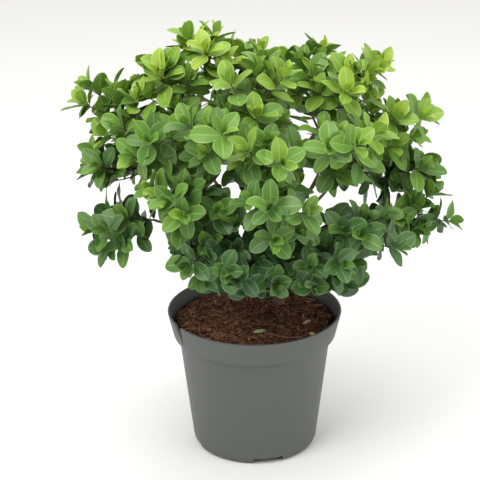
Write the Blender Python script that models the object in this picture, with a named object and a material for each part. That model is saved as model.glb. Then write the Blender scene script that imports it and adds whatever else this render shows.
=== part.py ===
"""Potted irish luck kohuhu: a bushy evergreen shrub in a round nursery pot.

Metres, +Z up. The front of the plant faces -Y. The origin is the centre of the
pot's flat underside.
"""

import math
import random

import bmesh
import bpy
from mathutils import Vector
from mathutils.bvhtree import BVHTree

# Gap kept between two pieces that meet
CLEAR = 0.0003

# Pot
RIM_RADIUS = 0.0811
RIM_HEIGHT = 0.1336
LIP_UNDER_RADIUS = 0.0756
LIP_UNDER_HEIGHT = 0.1112
LIP_STEP_HEIGHT = 0.1070
BODY_TOP_RADIUS = 0.0702
BODY_FOOT_RADIUS = 0.0583
BODY_FOOT_HEIGHT = 0.0080
FOOT_RADIUS = 0.0520
WALL = 0.0014
FLOOR_THICKNESS = 0.0016
POT_STEPS = 36
DRAIN_NOTCHES = 4
DRAIN_NOTCH_WIDTH = 0.0280
DRAIN_NOTCH_HEIGHT = 0.0060
DRAIN_NOTCH_DEPTH = 0.0040
DRAIN_FIRST_ANGLE = math.radians(-78.0)
TEAR_ANGLE = math.radians(-151.0)
TEAR_WIDTH = 0.0100
TEAR_DEPTH = 0.0200

# Bark mulch that fills the pot
SOIL_HEIGHT = 0.1240
SOIL_MOUND = 0.0030
SOIL_ROUGHNESS = 0.0011
SOIL_RINGS = 4
SOIL_STEPS = 24
SOIL_SEED = 5

# Trunk
TRUNK_FOOT = Vector((0.0230, 0.0320, SOIL_HEIGHT + CLEAR))
TRUNK_TIP = Vector((0.0185, 0.0380, 0.2700))
TRUNK_FOOT_RADIUS = 0.0040
TRUNK_TIP_RADIUS = 0.0017
TRUNK_FLARE = 0.0026
TRUNK_FLARE_HEIGHT = 0.0100
TRUNK_SWAY = 0.0034
TRUNK_SWAY_TURNS = 1.4
TRUNK_SIDES = 7
TRUNK_STEPS = 11

# Boughs: name, limb that carries it, place along that limb, tip,
# radius at the start
BOUGH_TIP_RADIUS = 0.0012
BOUGH_SIDES = 5
BOUGH_STEPS = 5
BOUGH_RISE = 0.35
BOUGHS = (
    ("bough_left", "trunk", 0.16, (-0.100, -0.022, 0.288), 0.0021),
    ("bough_left_low", "bough_left", 0.62, (-0.088, -0.036, 0.236), 0.0014),
    ("bough_left_upper", "trunk", 0.56, (-0.058, -0.008, 0.305), 0.0019),
    ("bough_centre_left", "trunk", 0.84, (-0.026, 0.012, 0.315), 0.0016),
    ("bough_front_upper", "trunk", 0.72, (-0.003, -0.045, 0.292), 0.0017),
    ("bough_front", "trunk", 0.34, (0.002, -0.064, 0.232), 0.0018),
    ("bough_front_left", "trunk", 0.46, (-0.036, -0.058, 0.247), 0.0018),
    ("bough_right_top", "trunk", 0.90, (0.060, 0.006, 0.312), 0.0016),
    ("bough_right_front", "trunk", 0.64, (0.054, -0.040, 0.272), 0.0017),
    ("bough_right_upper", "trunk", 0.52, (0.084, 0.018, 0.268), 0.0018),
    ("bough_right", "trunk", 0.20, (0.092, 0.000, 0.216), 0.0020),
    ("bough_right_low", "trunk", 0.28, (0.058, -0.050, 0.206), 0.0018),
    ("bough_back", "trunk", 0.40, (0.010, 0.082, 0.250), 0.0018),
    ("bough_back_left", "trunk", 0.24, (-0.052, 0.058, 0.238), 0.0018),
    ("bough_back_right", "trunk", 0.50, (0.066, 0.068, 0.252), 0.0018),
)

# Masses of foliage: name, limb that carries it, place along that limb,
# tip of the leading shoot, side twigs, age (0 young tips, 1 old wood)
MASSES = (
    ("foliage_left_tip", "bough_left", 1.0, (-0.121, 0.000, 0.341), 4, 0.1),
    ("foliage_left_mid", "bough_left", 0.90, (-0.118, -0.012, 0.288), 4, 0.4),
    ("foliage_left_low", "bough_left_low", 1.0, (-0.112, -0.042, 0.243), 4, 0.5),
    ("foliage_left_upper", "bough_left_upper", 1.0, (-0.073, -0.008, 0.368), 4, 0.2),
    ("foliage_left_front", "bough_left_upper", 0.92, (-0.087, -0.050, 0.322), 4, 0.4),
    ("foliage_top_left", "bough_centre_left", 1.0, (-0.042, 0.010, 0.384), 4, 0.0),
    ("foliage_top_back", "trunk", 1.0, (-0.010, 0.058, 0.362), 4, 0.1),
    ("foliage_top_front", "bough_front_upper", 1.0, (0.004, -0.034, 0.372), 5, 0.1),
    ("foliage_front_left_upper", "bough_front_upper", 0.90, (-0.036, -0.086, 0.338), 4, 0.4),
    ("foliage_front_upper", "bough_front_upper", 0.80, (0.010, -0.098, 0.326), 5, 0.3),
    ("foliage_top_right", "bough_right_top", 0.92, (0.044, 0.008, 0.368), 4, 0.1),
    ("foliage_right_top", "bough_right_top", 1.0, (0.084, -0.018, 0.366), 5, 0.0),
    ("foliage_right_upper", "bough_right_upper", 1.0, (0.124, 0.012, 0.318), 4, 0.1),
    ("foliage_right_mid", "bough_right_upper", 0.90, (0.142, 0.018, 0.270), 4, 0.3),
    ("foliage_right_low", "bough_right", 1.0, (0.144, -0.020, 0.242), 4, 0.3),
    ("foliage_right_front_upper", "bough_right_front", 1.0, (0.074, -0.074, 0.325), 5, 0.2),
    ("foliage_right_front", "bough_right_low", 1.0, (0.092, -0.084, 0.254), 4, 0.5),
    ("foliage_front_right_low", "bough_right_low", 0.90, (0.058, -0.104, 0.236), 4, 0.7),
    ("foliage_front_mid", "bough_front", 1.0, (0.020, -0.116, 0.290), 4, 0.4),
    ("foliage_front_low", "bough_front", 0.88, (0.006, -0.108, 0.226), 4, 0.8),
    ("foliage_front_left", "bough_front_left", 1.0, (-0.060, -0.096, 0.288), 4, 0.4),
    ("foliage_front_left_low", "bough_front_left", 0.90, (-0.040, -0.106, 0.240), 4, 0.7),
    ("foliage_skirt_front", "trunk", 0.17, (-0.014, -0.050, 0.192), 3, 1.0),
    ("foliage_skirt_right", "trunk", 0.23, (0.040, -0.028, 0.184), 3, 1.0),
    ("foliage_back_left", "bough_back_left", 1.0, (-0.104, 0.080, 0.272), 4, 0.4),
    ("foliage_back_left_upper", "bough_back_left", 0.90, (-0.062, 0.088, 0.322), 4, 0.2),
    ("foliage_back_mid", "bough_back", 1.0, (0.004, 0.124, 0.306), 4, 0.3),
    ("foliage_back_low", "bough_back", 0.88, (0.012, 0.118, 0.234), 4, 0.7),
    ("foliage_back_right_upper", "bough_back_right", 1.0, (0.066, 0.094, 0.324), 5, 0.2),
    ("foliage_back_right", "bough_back_right", 0.90, (0.112, 0.078, 0.266), 4, 0.5),
)

# Twigs and leaves
STEM_RADIUS = 0.0011
TWIG_RADIUS = 0.0009
TWIG_TIP_RADIUS = 0.0007
TWIG_SIDES = 3
STEM_STEPS = 3
TWIG_LENGTH = (0.026, 0.044)
LEAF_LENGTH = (0.025, 0.032)
LEAF_WIDTH = 0.62
LEAF_WIDEST = 0.60
LEAF_ARCH = 0.10
LEAF_THICKNESS = 0.0008
LEAVES_AT_STEM_TIP = 5
LEAVES_AT_TWIG_TIP = 3
ROSETTE_SPACING = 0.0020
LEAF_SPACING = 0.0190
GOLDEN_ANGLE = math.radians(137.5)
SPACE_MARGIN = 0.0004
TRIES = 10
CROWN_SEED = 11
CROWN_CENTRE = Vector((0.005, 0.010, 0.240))
LOWEST_LEAF = SOIL_HEIGHT + 0.026
FRONT_RISE = 0.40
LEAF_ABOVE_TIP = 0.026

UP = Vector((0.0, 0.0, 1.0))


def clear_scene():
    for obj in list(bpy.data.objects):
        bpy.data.objects.remove(obj, do_unlink=True)


def material(name, colour, roughness):
    mat = bpy.data.materials.new(name)
    mat.use_nodes = True
    shader = mat.node_tree.nodes["Principled BSDF"]
    shader.inputs["Base Color"].default_value = (*colour, 1.0)
    shader.inputs["Roughness"].default_value = roughness
    shader.inputs["Metallic"].default_value = 0.0
    return mat


def mesh_object(name, verts, faces, mat, collection=None):
    mesh = bpy.data.meshes.new(name)
    mesh.from_pydata([tuple(v) for v in verts], [], faces)
    mesh.materials.append(mat)
    obj = bpy.data.objects.new(name, mesh)
    (collection or bpy.context.scene.collection).objects.link(obj)
    return obj


def shade_round(obj, angle=math.radians(35.0)):
    obj.data.shade_smooth()
    obj.data.set_sharp_from_angle(angle=angle)


def apply_modifiers(obj):
    depsgraph = bpy.context.evaluated_depsgraph_get()
    mesh = bpy.data.meshes.new_from_object(obj.evaluated_get(depsgraph))
    old = obj.data
    obj.modifiers.clear()
    obj.data = mesh
    bpy.data.meshes.remove(old)


def turned(name, profile, steps, mat):
    """Spin a closed (radius, height) loop, listed outside first, round Z."""
    bm = bmesh.new()
    verts = [bm.verts.new((r, 0.0, z)) for r, z in profile]
    edges = [bm.edges.new(pair) for pair in zip(verts, verts[1:])]
    bmesh.ops.spin(
        bm,
        geom=verts + edges,
        cent=(0.0, 0.0, 0.0),
        axis=(0.0, 0.0, 1.0),
        angle=math.tau,
        steps=steps,
        use_merge=True,
    )
    bmesh.ops.remove_doubles(bm, verts=bm.verts, dist=1e-6)
    bmesh.ops.recalc_face_normals(bm, faces=bm.faces)
    mesh = bpy.data.meshes.new(name)
    bm.to_mesh(mesh)
    bm.free()
    mesh.materials.append(mat)
    obj = bpy.data.objects.new(name, mesh)
    bpy.context.scene.collection.objects.link(obj)
    return obj


def pot_inner_radius(z):
    """Inner wall of the body at height z, up to the step under the lip."""
    rise = (z - BODY_FOOT_HEIGHT) / (LIP_STEP_HEIGHT - BODY_FOOT_HEIGHT)
    return BODY_FOOT_RADIUS + (BODY_TOP_RADIUS - BODY_FOOT_RADIUS) * rise - WALL


def build_pot(mat):
    inner_floor = pot_inner_radius(BODY_FOOT_HEIGHT) - 0.0016
    profile = (
        (0.0, 0.0),
        (FOOT_RADIUS, 0.0),
        (FOOT_RADIUS + 0.0038, 0.0020),
        (BODY_FOOT_RADIUS, BODY_FOOT_HEIGHT),
        (BODY_TOP_RADIUS, LIP_STEP_HEIGHT),
        (LIP_UNDER_RADIUS - 0.0012, LIP_UNDER_HEIGHT - 0.0012),
        (LIP_UNDER_RADIUS, LIP_UNDER_HEIGHT),
        (RIM_RADIUS - 0.0004, RIM_HEIGHT - 0.0008),
        (RIM_RADIUS - 0.0007, RIM_HEIGHT),
        (RIM_RADIUS - 0.0024, RIM_HEIGHT),
        (LIP_UNDER_RADIUS - WALL, LIP_UNDER_HEIGHT + 0.0004),
        (BODY_TOP_RADIUS - WALL, LIP_STEP_HEIGHT + 0.0012),
        (pot_inner_radius(BODY_FOOT_HEIGHT), BODY_FOOT_HEIGHT),
        (inner_floor, FLOOR_THICKNESS),
        (0.0, FLOOR_THICKNESS),
    )
    pot = turned("pot", profile, POT_STEPS, mat)
    for n in range(DRAIN_NOTCHES):
        angle = DRAIN_FIRST_ANGLE + n * math.tau / DRAIN_NOTCHES
        cut_box(pot, angle, FOOT_RADIUS + 0.0040, DRAIN_NOTCH_DEPTH + 0.0080,
                DRAIN_NOTCH_WIDTH, DRAIN_NOTCH_HEIGHT)
    cut_tear(pot)
    apply_modifiers(pot)
    for cutter in [o for o in bpy.data.objects if o.name.startswith("cutter")]:
        bpy.data.objects.remove(cutter, do_unlink=True)
    shade_round(pot)
    return pot


def add_cutter(pot, verts, faces):
    cutter = mesh_object("cutter", verts, faces, pot.data.materials[0])
    cutter.hide_render = True
    cutter.display_type = "WIRE"
    cut = pot.modifiers.new("cut", "BOOLEAN")
    cut.operation = "DIFFERENCE"
    cut.solver = "MANIFOLD"
    cut.object = cutter


def cut_box(pot, angle, radius, depth, width, height):
    """Open a notch through the wall at the foot, around the given angle."""
    out = Vector((math.cos(angle), math.sin(angle), 0.0))
    side = Vector((-math.sin(angle), math.cos(angle), 0.0))
    verts = []
    for z in (-0.002, height):
        for o, s in ((-1, -1), (1, -1), (1, 1), (-1, 1)):
            verts.append(out * (radius + o * depth / 2) + side * s * width / 2 + UP * z)
    faces = [(3, 2, 1, 0), (4, 5, 6, 7)]
    faces += [(i, (i + 1) % 4, (i + 1) % 4 + 4, i + 4) for i in range(4)]
    add_cutter(pot, verts, faces)


def cut_tear(pot):
    """Cut the V-shaped tear in the lip, open at the top."""
    out = Vector((math.cos(TEAR_ANGLE), math.sin(TEAR_ANGLE), 0.0))
    side = Vector((-math.sin(TEAR_ANGLE), math.cos(TEAR_ANGLE), 0.0))
    above = 0.001
    corners = (
        (-TEAR_WIDTH / 2, RIM_HEIGHT + above),
        (TEAR_WIDTH / 2, RIM_HEIGHT + above),
        (TEAR_WIDTH * 0.46, RIM_HEIGHT - TEAR_DEPTH * 0.5),
        (TEAR_WIDTH * 0.28, RIM_HEIGHT - TEAR_DEPTH),
        (-TEAR_WIDTH * 0.10, RIM_HEIGHT - TEAR_DEPTH * 0.45),
    )
    verts = []
    for reach in (LIP_UNDER_RADIUS - 0.006, RIM_RADIUS + 0.004):
        verts += [out * reach + side * s + UP * z for s, z in corners]
    count = len(corners)
    faces = [tuple(range(count)), tuple(reversed(range(count, 2 * count)))]
    faces += [
        (i + count, (i + 1) % count + count, (i + 1) % count, i)
        for i in range(count)
    ]
    add_cutter(pot, verts, faces)


def build_soil(mat):
    """Bark mulch: a plug that fills the pot, with a rough mounded top."""
    rng = random.Random(SOIL_SEED)
    wall_radius = (
        LIP_UNDER_RADIUS - WALL - CLEAR
        + (SOIL_HEIGHT - LIP_UNDER_HEIGHT)
        * (RIM_RADIUS - LIP_UNDER_RADIUS) / (RIM_HEIGHT - LIP_UNDER_HEIGHT)
        - 0.0014
    )
    verts, faces = [], []

    def ring(radius, height, rough=0.0):
        start = len(verts)
        for i in range(SOIL_STEPS):
            angle = i * math.tau / SOIL_STEPS
            x, y = radius * math.cos(angle), radius * math.sin(angle)
            z = height + rng.uniform(-rough, rough)
            away = math.hypot(x - TRUNK_FOOT.x, y - TRUNK_FOOT.y)
            if rough and away < 0.016:
                z = SOIL_HEIGHT
            verts.append((x, y, z))
        return start

    low = FLOOR_THICKNESS + CLEAR
    flat_of_wall = RIM_RADIUS * (1.0 - math.cos(math.pi / POT_STEPS))
    inset = CLEAR + flat_of_wall
    starts = [
        ring(pot_inner_radius(BODY_FOOT_HEIGHT) - 0.0016 - inset, low),
        ring(pot_inner_radius(BODY_FOOT_HEIGHT) - inset, BODY_FOOT_HEIGHT),
        ring(BODY_TOP_RADIUS - WALL - inset, LIP_STEP_HEIGHT + 0.0020),
        ring(LIP_UNDER_RADIUS - WALL - inset - 0.0004, LIP_UNDER_HEIGHT + 0.0014),
        ring(wall_radius, SOIL_HEIGHT - 0.0035),
    ]
    for k in range(1, SOIL_RINGS):
        t = 1.0 - k / SOIL_RINGS
        height = SOIL_HEIGHT - SOIL_MOUND * max(0.0, t - 0.35)
        starts.append(ring(wall_radius * t, height, SOIL_ROUGHNESS))
    verts.append((0.0, 0.0, SOIL_HEIGHT))
    top = len(verts) - 1
    for a, b in zip(starts, starts[1:]):
        for i in range(SOIL_STEPS):
            j = (i + 1) % SOIL_STEPS
            faces.append((a + i, a + j, b + j, b + i))
    last = starts[-1]
    faces += [(last + i, last + (i + 1) % SOIL_STEPS, top) for i in range(SOIL_STEPS)]
    faces.append(tuple(reversed(range(SOIL_STEPS))))
    return mesh_object("soil", verts, faces, mat)


def bezier(p0, p1, p2, p3, t):
    s = 1.0 - t
    return p0 * s ** 3 + p1 * 3 * s * s * t + p2 * 3 * s * t * t + p3 * t ** 3


def limb_path(start, leave, tip, arrive, steps):
    """Smooth path that leaves along one direction and arrives along another."""
    span = (tip - start).length
    p1 = start + leave * span * 0.33
    p2 = tip - arrive * span * 0.33
    return [bezier(start, p1, p2, tip, i / steps) for i in range(steps + 1)]


def tube(path, radii, sides):
    """Closed tapered tube along a path, with flat ends."""
    verts, faces = [], []
    across = None
    for i, point in enumerate(path):
        ahead = (path[min(i + 1, len(path) - 1)] - path[max(i - 1, 0)]).normalized()
        if across is None:
            across = ahead.orthogonal().normalized()
        across = (across - ahead * across.dot(ahead)).normalized()
        third = ahead.cross(across)
        for k in range(sides):
            turn = k * math.tau / sides
            offset = across * math.cos(turn) + third * math.sin(turn)
            verts.append(point + offset * radii[i])
    for i in range(len(path) - 1):
        a, b = i * sides, (i + 1) * sides
        for k in range(sides):
            j = (k + 1) % sides
            faces.append((a + k, a + j, b + j, b + k))
    faces.append(tuple(reversed(range(sides))))
    faces.append(tuple(range(len(verts) - sides, len(verts))))
    return verts, faces


def along(path, t):
    """Point and direction at a share t of a path."""
    place = min(max(t, 0.0), 1.0) * (len(path) - 1)
    i = min(int(place), len(path) - 2)
    point = path[i].lerp(path[i + 1], place - i)
    return point, (path[i + 1] - path[i]).normalized()


def radius_at(radii, t):
    place = min(max(t, 0.0), 1.0) * (len(radii) - 1)
    i = min(int(place), len(radii) - 2)
    return radii[i] + (radii[i + 1] - radii[i]) * (place - i)


def start_on(limb, t, target, own_radius):
    """Where a limb or stem begins on the limb that carries it, just clear."""
    path, radii = limb
    point, ahead = along(path, t)
    if t >= 1.0:
        return path[-1] + ahead * CLEAR, ahead
    aim = (target - point).normalized()
    side = aim - ahead * aim.dot(ahead)
    side = side.normalized() if side.length > 1e-4 else ahead.orthogonal().normalized()
    leave = (side * 0.86 + ahead * 0.50).normalized()
    off = (radius_at(radii, t) + CLEAR + own_radius * leave.dot(ahead)) / leave.dot(side)
    return point + leave * off, leave


def trunk_limb():
    path, radii = [], []
    for i in range(TRUNK_STEPS + 1):
        t = (i / TRUNK_STEPS) ** 1.25
        point = TRUNK_FOOT.lerp(TRUNK_TIP, t)
        fade = math.sin(math.pi * min(1.0, t * 1.02))
        sway = math.sin(math.tau * TRUNK_SWAY_TURNS * t) * TRUNK_SWAY * fade
        path.append(point + Vector((sway, sway * 0.4, 0.0)))
        taper = TRUNK_FOOT_RADIUS + (TRUNK_TIP_RADIUS - TRUNK_FOOT_RADIUS) * t
        height = point.z - TRUNK_FOOT.z
        radii.append(taper + TRUNK_FLARE * math.exp(-height / TRUNK_FLARE_HEIGHT * 2.0))
    return path, radii


def build_trunk(mat):
    path, radii = trunk_limb()
    verts, faces = tube(path, radii, TRUNK_SIDES)
    for i in range(TRUNK_SIDES):
        verts[i].z = TRUNK_FOOT.z
    return mesh_object("trunk", verts, faces, mat), (path, radii)


def bough_limb(limbs, parent, t, tip, radius):
    tip = Vector(tip)
    start, leave = start_on(limbs[parent], t, tip, radius)
    arrive = ((tip - start).normalized() + UP * BOUGH_RISE).normalized()
    path = limb_path(start, leave, tip, arrive, BOUGH_STEPS)
    radii = [
        radius + (BOUGH_TIP_RADIUS - radius) * i / BOUGH_STEPS
        for i in range(BOUGH_STEPS + 1)
    ]
    return path, radii


def stem_limb(limbs, parent, t, tip):
    tip = Vector(tip)
    start, leave = start_on(limbs[parent], t, tip, STEM_RADIUS)
    arrive = ((tip - start).normalized() + UP * 0.5).normalized()
    path = limb_path(start, leave, tip, arrive, STEM_STEPS)
    radii = [
        STEM_RADIUS + (TWIG_TIP_RADIUS - STEM_RADIUS) * i / STEM_STEPS
        for i in range(STEM_STEPS + 1)
    ]
    return path, radii


def distance_to_path(point, path):
    best = 1e9
    for a, b in zip(path, path[1:]):
        step = b - a
        t = max(0.0, min(1.0, (point - a).dot(step) / step.length_squared))
        best = min(best, (point - a - step * t).length)
    return best


def in_own_space(point, own, stems):
    """A mass's space is all that lies nearer to its stem than to another's."""
    if point.z < LOWEST_LEAF + FRONT_RISE * max(0.0, -point.y):
        return False
    if point.z > stems[own][-1].z + LEAF_ABOVE_TIP:
        return False
    here = distance_to_path(point, stems[own])
    for name, path in stems.items():
        if name != own and distance_to_path(point, path) < here + SPACE_MARGIN:
            return False
    return True


def leaf_solid(root, along_leaf, face, length):
    """Obovate blade, arched over its widest line, with a keel below it."""
    side = along_leaf.cross(face).normalized()
    half = length * LEAF_WIDTH / 2
    wide = root + along_leaf * length * LEAF_WIDEST + face * length * LEAF_ARCH
    keel = root + along_leaf * length * 0.52 + face * (length * LEAF_ARCH * 0.87 - LEAF_THICKNESS)
    tip = root + along_leaf * length
    verts = [root, wide + side * half, tip, wide - side * half, keel]
    faces = [(0, 1, 3), (1, 2, 3), (1, 0, 4), (2, 1, 4), (3, 2, 4), (0, 3, 4)]
    return verts, faces


def tree_of(verts, faces):
    return BVHTree.FromPolygons([tuple(v) for v in verts], faces, epsilon=0.0)


class Crown:
    """Grows every mass in turn and keeps each clear of all that stands."""

    def __init__(self, limbs, stems):
        self.limbs = limbs
        self.stems = {name: path for name, (path, _) in stems.items()}
        self.taken = []

    def block(self, verts, faces):
        self.taken.append(tree_of(verts, faces))

    def free(self, verts, faces):
        tree = tree_of(verts, faces)
        return not any(tree.overlap(other) for other in self.taken)

    def grow(self, name, stem, twig_count, age):
        """Solids of one mass: its stem, side twigs and leaves."""
        rng = random.Random(f"{CROWN_SEED} {name}")
        path, radii = stem
        pieces = [tube(path, radii, TWIG_SIDES)]
        own = [tree_of(*pieces[0])]
        shoots = [(path, LEAVES_AT_STEM_TIP, 0.45)]
        turn = rng.uniform(0.0, math.tau)
        for k in range(twig_count):
            share = 0.22 + 0.66 * (k + 0.5) / twig_count
            for attempt in range(TRIES):
                turn += GOLDEN_ANGLE
                twig = self.side_twig(rng, path, share, turn, attempt)
                inside = in_own_space(twig[1], name, self.stems)
                shape = tube(twig, [TWIG_RADIUS, TWIG_TIP_RADIUS], TWIG_SIDES)
                if inside and self.free(*shape):
                    pieces.append(shape)
                    own.append(tree_of(*shape))
                    shoots.append((twig, LEAVES_AT_TWIG_TIP, 0.50))
                    break
        for shoot, at_tip, bare in shoots:
            for leaf in self.shoot_leaves(rng, name, shoot, at_tip, bare, age, own):
                pieces.append(leaf)
        return pieces

    def side_twig(self, rng, path, share, turn, attempt):
        point, ahead = along(path, share)
        across = ahead.orthogonal().normalized()
        third = ahead.cross(across)
        radial = across * math.cos(turn) + third * math.sin(turn)
        outward = (point - CROWN_CENTRE).normalized()
        aim = radial * 0.9 + ahead * 0.45 + outward * 0.45 + UP * 0.15
        aim.normalize()
        length = rng.uniform(*TWIG_LENGTH) * (1.0 - 0.06 * attempt)
        tip = point + aim * length
        return [point, tip]

    def shoot_leaves(self, rng, name, shoot, at_tip, bare, age, own):
        """A rosette at the tip, then single leaves down to the bare part."""
        length = sum((b - a).length for a, b in zip(shoot, shoot[1:]))
        count = int(length * (1.0 - bare) / LEAF_SPACING)
        turn = rng.uniform(0.0, math.tau)
        places = []
        for k in range(at_tip):
            opening = 24.0 + 54.0 * k / max(1, at_tip - 1)
            places.append((1.0 - (k + 0.4) * ROSETTE_SPACING / length, opening))
        for k in range(count):
            below = at_tip * ROSETTE_SPACING + (k + 0.6) * LEAF_SPACING
            places.append((1.0 - below / length, 74.0))
        for share, opening in places:
            for attempt in range(TRIES // 2):
                turn += GOLDEN_ANGLE
                leaf, blade = self.leaf(rng, shoot, share, turn, opening, age)
                if self.leaf_fits(name, leaf, blade, own):
                    own.append(tree_of(*blade))
                    yield leaf
                    break

    def leaf(self, rng, shoot, share, turn, opening, age):
        point, ahead = along(shoot, share)
        across = ahead.orthogonal().normalized()
        third = ahead.cross(across)
        radial = across * math.cos(turn) + third * math.sin(turn)
        open_angle = math.radians(opening + rng.uniform(-8.0, 12.0))
        way = ahead * math.cos(open_angle) + radial * math.sin(open_angle)
        way = (way + UP * 0.12).normalized()
        face = ahead * math.sin(open_angle) - radial * math.cos(open_angle) + UP * 0.5
        face = (face - way * face.dot(way)).normalized()
        roll = rng.uniform(-0.35, 0.35)
        face = face * math.cos(roll) + way.cross(face) * math.sin(roll)
        length = rng.uniform(*LEAF_LENGTH)
        root = point - way * 0.0002
        blade_root = root + way * length * 0.22
        leaf = leaf_solid(root, way, face, length)
        blade = leaf_solid(blade_root, way, face, length * 0.80)
        return leaf, blade

    def leaf_fits(self, name, leaf, blade, own):
        verts = leaf[0]
        if not all(in_own_space(verts[i], name, self.stems) for i in (1, 2, 3)):
            return False
        tree = tree_of(*blade)
        return not any(tree.overlap(other) for other in own) and self.free(*leaf)


def fuse(name, pieces, mat):
    """Join a mass's solids into one body with a single union."""
    collection = bpy.data.collections.new(name + "_parts")
    bpy.context.scene.collection.children.link(collection)
    stem = mesh_object(name, *pieces[0], mat)
    for verts, faces in pieces[1:]:
        mesh_object("piece", verts, faces, mat, collection)
    union = stem.modifiers.new("union", "BOOLEAN")
    union.operation = "UNION"
    union.operand_type = "COLLECTION"
    union.collection = collection
    union.solver = "EXACT"
    apply_modifiers(stem)
    for obj in list(collection.objects):
        mesh = obj.data
        bpy.data.objects.remove(obj, do_unlink=True)
        bpy.data.meshes.remove(mesh)
    bpy.data.collections.remove(collection)
    drop_scraps(stem)
    return stem


def drop_scraps(obj):
    """Keep the one largest closed body of a mesh."""
    bm = bmesh.new()
    bm.from_mesh(obj.data)
    bm.verts.ensure_lookup_table()
    unseen = set(bm.verts)
    bodies = []
    while unseen:
        queue = [unseen.pop()]
        body = set(queue)
        while queue:
            for edge in queue.pop().link_edges:
                for vert in edge.verts:
                    if vert in unseen:
                        unseen.discard(vert)
                        body.add(vert)
                        queue.append(vert)
        bodies.append(body)
    bodies.sort(key=len)
    scraps = [vert for body in bodies[:-1] for vert in body]
    if scraps:
        bmesh.ops.delete(bm, geom=scraps, context="VERTS")
        bm.to_mesh(obj.data)
    bm.free()


def main():
    clear_scene()
    plastic = material("grey_plastic", (0.085, 0.088, 0.085), 0.55)
    mulch = material("bark_mulch", (0.13, 0.055, 0.032), 0.95)
    bark = material("bark", (0.16, 0.11, 0.075), 0.85)
    young = material("young_leaf", (0.30, 0.50, 0.06), 0.40)
    grown = material("grown_leaf", (0.10, 0.26, 0.05), 0.40)
    old = material("old_leaf", (0.035, 0.11, 0.035), 0.40)

    build_pot(plastic)
    build_soil(mulch)
    _, trunk = build_trunk(bark)
    limbs = {"trunk": trunk}
    for name, parent, t, tip, radius in BOUGHS:
        limbs[name] = bough_limb(limbs, parent, t, tip, radius)
        mesh_object(name, *tube(*limbs[name], BOUGH_SIDES), bark)
    stems = {name: stem_limb(limbs, parent, t, tip) for name, parent, t, tip, _, _ in MASSES}

    crown = Crown(limbs, stems)
    for name, (path, radii) in limbs.items():
        sides = TRUNK_SIDES if name == "trunk" else BOUGH_SIDES
        crown.block(*tube(path, [r + CLEAR for r in radii], sides))
    for name, _, _, _, twig_count, age in MASSES:
        pieces = crown.grow(name, stems[name], twig_count, age)
        for verts, faces in pieces:
            crown.block(verts, faces)
        fuse(name, pieces, young if age < 0.25 else old if age > 0.75 else grown)


main()
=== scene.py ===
"""Looks of a potted irish luck kohuhu: leaves, twigs, bark, mulch and pot, and the studio.

Metres, +Z up. The front of the plant faces -Y. The origin is the centre of the pot's flat
underside. Limbs and stems have the places and tips of the solid ones, and each starts inside
the limb that carries it. A look is a material's name, colour, roughness and specular level.
"""
import math
import random

import bpy
from mathutils import Matrix, Vector, noise


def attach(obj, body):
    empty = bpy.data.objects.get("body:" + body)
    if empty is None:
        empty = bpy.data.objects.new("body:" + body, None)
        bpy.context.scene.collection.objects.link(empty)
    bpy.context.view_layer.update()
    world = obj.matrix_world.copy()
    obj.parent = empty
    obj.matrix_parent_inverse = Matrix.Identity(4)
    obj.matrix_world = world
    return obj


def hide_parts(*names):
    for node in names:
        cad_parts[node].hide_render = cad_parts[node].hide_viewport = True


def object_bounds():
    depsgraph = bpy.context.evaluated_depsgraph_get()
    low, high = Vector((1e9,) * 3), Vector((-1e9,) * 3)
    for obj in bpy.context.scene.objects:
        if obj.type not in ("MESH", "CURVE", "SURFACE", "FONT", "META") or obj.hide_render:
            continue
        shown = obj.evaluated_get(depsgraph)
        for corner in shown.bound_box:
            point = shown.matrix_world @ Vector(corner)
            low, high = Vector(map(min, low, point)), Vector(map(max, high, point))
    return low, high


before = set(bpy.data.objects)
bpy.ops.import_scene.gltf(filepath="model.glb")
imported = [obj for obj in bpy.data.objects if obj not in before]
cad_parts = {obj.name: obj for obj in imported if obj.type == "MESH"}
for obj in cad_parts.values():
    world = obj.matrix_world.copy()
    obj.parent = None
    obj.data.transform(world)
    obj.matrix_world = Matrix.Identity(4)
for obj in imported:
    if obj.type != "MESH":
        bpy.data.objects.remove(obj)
low_corner, high_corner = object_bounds()

# Pot, with the sizes of the solid one
RIM_RADIUS = 0.0811
RIM_HEIGHT = 0.1336
LIP_UNDER_RADIUS = 0.0756
LIP_UNDER_HEIGHT = 0.1112
LIP_STEP_HEIGHT = 0.1070
BODY_TOP_RADIUS = 0.0702
BODY_FOOT_RADIUS = 0.0583
BODY_FOOT_HEIGHT = 0.0080
FOOT_RADIUS = 0.0520
WALL = 0.0014
FLOOR_THICKNESS = 0.0016
LIP_INNER_RISE = 0.0004
STEP_INNER_RISE = 0.0012
FLOOR_EDGE = 0.0016
POT_STEPS = 128
DRAIN_NOTCHES = 4
DRAIN_NOTCH_WIDTH = 0.0280
DRAIN_NOTCH_HEIGHT = 0.0060
DRAIN_FIRST_ANGLE = math.radians(-78.0)
TEAR_ANGLE = math.radians(-151.0)
TEAR_WIDTH = 0.0100
TEAR_DEPTH = 0.0200
POT_SHARP_ANGLE = math.radians(35.0)
POT_LOOK = ("pot_grey", (0.088, 0.092, 0.088), 0.52, 0.45)

# How far the cutters of the notches and of the tear reach past the shell
NOTCH_SPARE = 0.002
NOTCH_REACH = 0.010
TEAR_SPARE = 0.001
TEAR_REACH_IN = 0.006
TEAR_REACH_OUT = 0.004

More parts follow.
